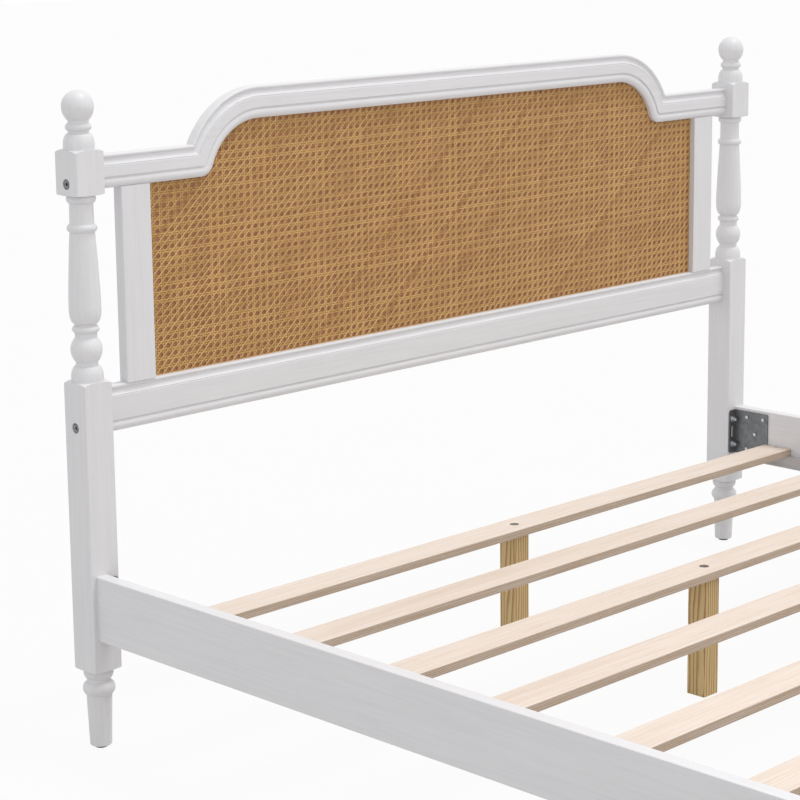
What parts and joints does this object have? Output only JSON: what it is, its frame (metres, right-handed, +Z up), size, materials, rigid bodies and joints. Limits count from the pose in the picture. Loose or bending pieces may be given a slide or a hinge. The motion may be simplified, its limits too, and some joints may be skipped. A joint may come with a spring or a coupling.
{
  "type": "rattan platform bed",
  "caption": "White wooden platform bed with turned posts, an arched moulded headboard holding a woven rattan panel, slatted base, corner brackets and centre support legs.",
  "frame": {"origin": "on the floor, under the middle of the bed's overall box", "axes": "+Z up; +Y to the headboard; +X to the right of someone who looks at the bed from its foot"},
  "size_m": [2.022, 2.173, 1.252],
  "materials": {
    "white_paint": "satin paint",
    "rattan": "woven, satin varnish",
    "backing": "matte, stained",
    "slat_wood": "matte, unfinished",
    "leg_wood": "matte, unfinished",
    "dowel_wood": "matte, fluted beech",
    "dark_steel": "dark zinc, satin",
    "bright_steel": "zinc plated",
    "black_plastic": "matte"
  },
  "bodies": {
    "root": {"headboard_post_left": "white_paint", "headboard_post_right": "white_paint", "headboard_top_rail": "white_paint", "headboard_bottom_rail": "white_paint", "headboard_stile_left": "white_paint", "headboard_stile_right": "white_paint", "side_rail_left": "white_paint", "side_rail_right": "white_paint", "foot_post_left": "white_paint", "foot_post_right": "white_paint", "foot_rail": "white_paint", "rattan_panel": "rattan", "backing_board": "backing", "slat_ledge_left": "white_paint", "slat_ledge_right": "white_paint", "slat_1": "slat_wood", "slat_2": "slat_wood", "slat_3": "slat_wood", "slat_4": "slat_wood", "slat_5": "slat_wood", "slat_6": "slat_wood", "slat_7": "slat_wood", "slat_8": "slat_wood", "support_leg_1": "leg_wood", "support_leg_2": "leg_wood", "support_leg_3": "leg_wood", "support_leg_4": "leg_wood", "headboard_rail_dowels": "dowel_wood", "foot_rail_dowels": "dowel_wood", "stile_dowels": "dowel_wood", "head_bracket_left": "dark_steel", "head_bracket_right": "dark_steel", "foot_bracket_left": "dark_steel", "foot_bracket_right": "dark_steel", "headboard_bolts": "dark_steel", "foot_rail_bolts": "dark_steel", "leg_bolts": "dark_steel", "panel_pins": "bright_steel", "headboard_barrel_nuts": "bright_steel", "foot_rail_barrel_nuts": "bright_steel", "bracket_studs": "bright_steel", "bracket_washers": "bright_steel", "bracket_nuts": "bright_steel", "bracket_screws": "bright_steel", "ledge_screws": "bright_steel", "slat_screws": "bright_steel", "post_glides": "black_plastic"}
  },
  "joints": []
}
